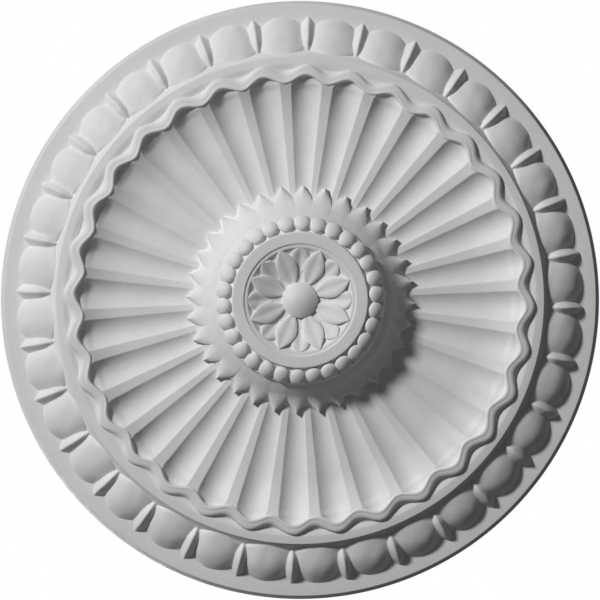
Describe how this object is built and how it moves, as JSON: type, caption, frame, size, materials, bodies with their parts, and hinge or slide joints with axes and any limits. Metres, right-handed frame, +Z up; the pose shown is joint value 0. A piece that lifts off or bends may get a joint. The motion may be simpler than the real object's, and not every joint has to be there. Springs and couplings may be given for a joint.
{
  "type": "ceiling rose",
  "caption": "Round ceiling rose with a fluted bowl inside a scalloped ribbon and a bead-and-reel rim, and a raised boss with leaves, beads and a flower.",
  "frame": {"origin": "centre of the flat back, on the plane where it meets the ceiling", "axes": "+Z up, square out of the flat back into the ceiling; the carved face looks down along -Z; a flute and a reel lie on the X axis"},
  "size_m": [0.6, 0.6, 0.08],
  "materials": {
    "primed_white": "hard cast foam, factory primed matt white, lightly sanded, with fine pinholes"
  },
  "bodies": {
    "root": {"ceiling_rose": "primed_white"}
  },
  "joints": []
}
